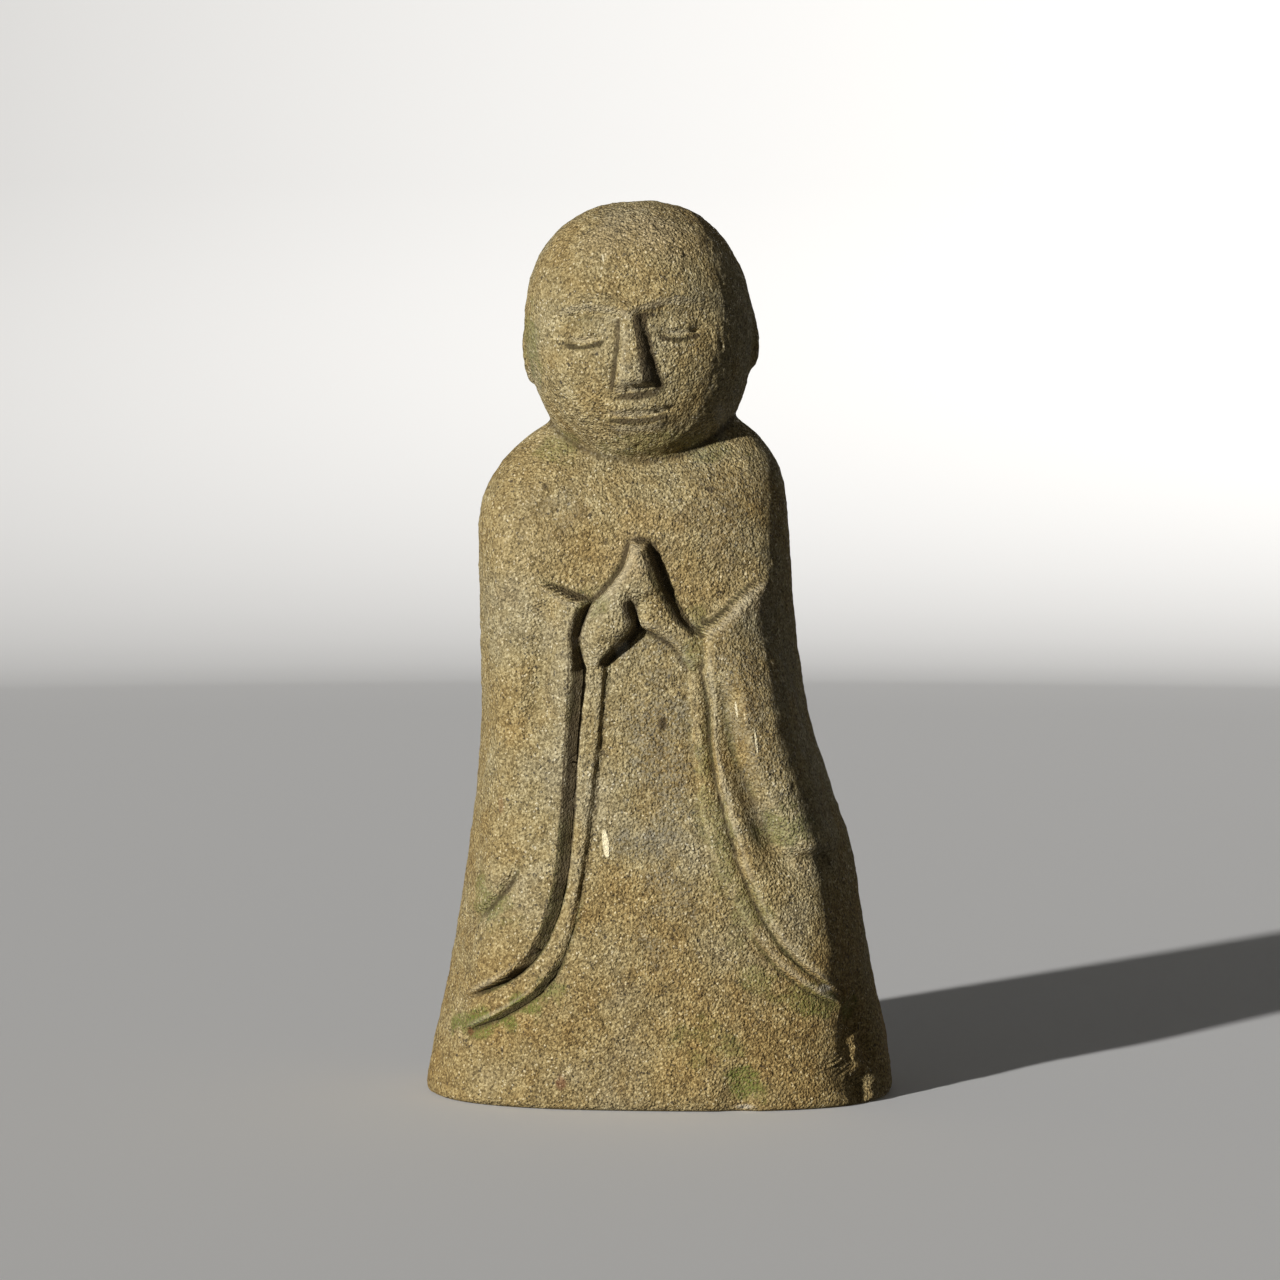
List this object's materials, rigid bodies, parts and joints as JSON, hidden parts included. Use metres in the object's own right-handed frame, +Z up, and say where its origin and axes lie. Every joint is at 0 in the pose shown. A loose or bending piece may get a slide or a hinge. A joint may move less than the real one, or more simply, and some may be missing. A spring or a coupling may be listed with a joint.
{
  "type": "stone jizo statue",
  "caption": "Small carved stone jizo, a shaven monk in a long robe with palms together, standing on its own flat foot.",
  "frame": {"origin": "middle of the underside, on the ground", "axes": "+Z up to the crown, -Y the way the figure faces, +X to the right of someone looking at its face"},
  "size_m": [0.1892, 0.121, 0.3601],
  "materials": {
    "stone": "rough weathered brown sandstone, grainy, with some green algae in the hollows"
  },
  "bodies": {
    "root": {"jizo_statue": "stone"}
  },
  "joints": []
}
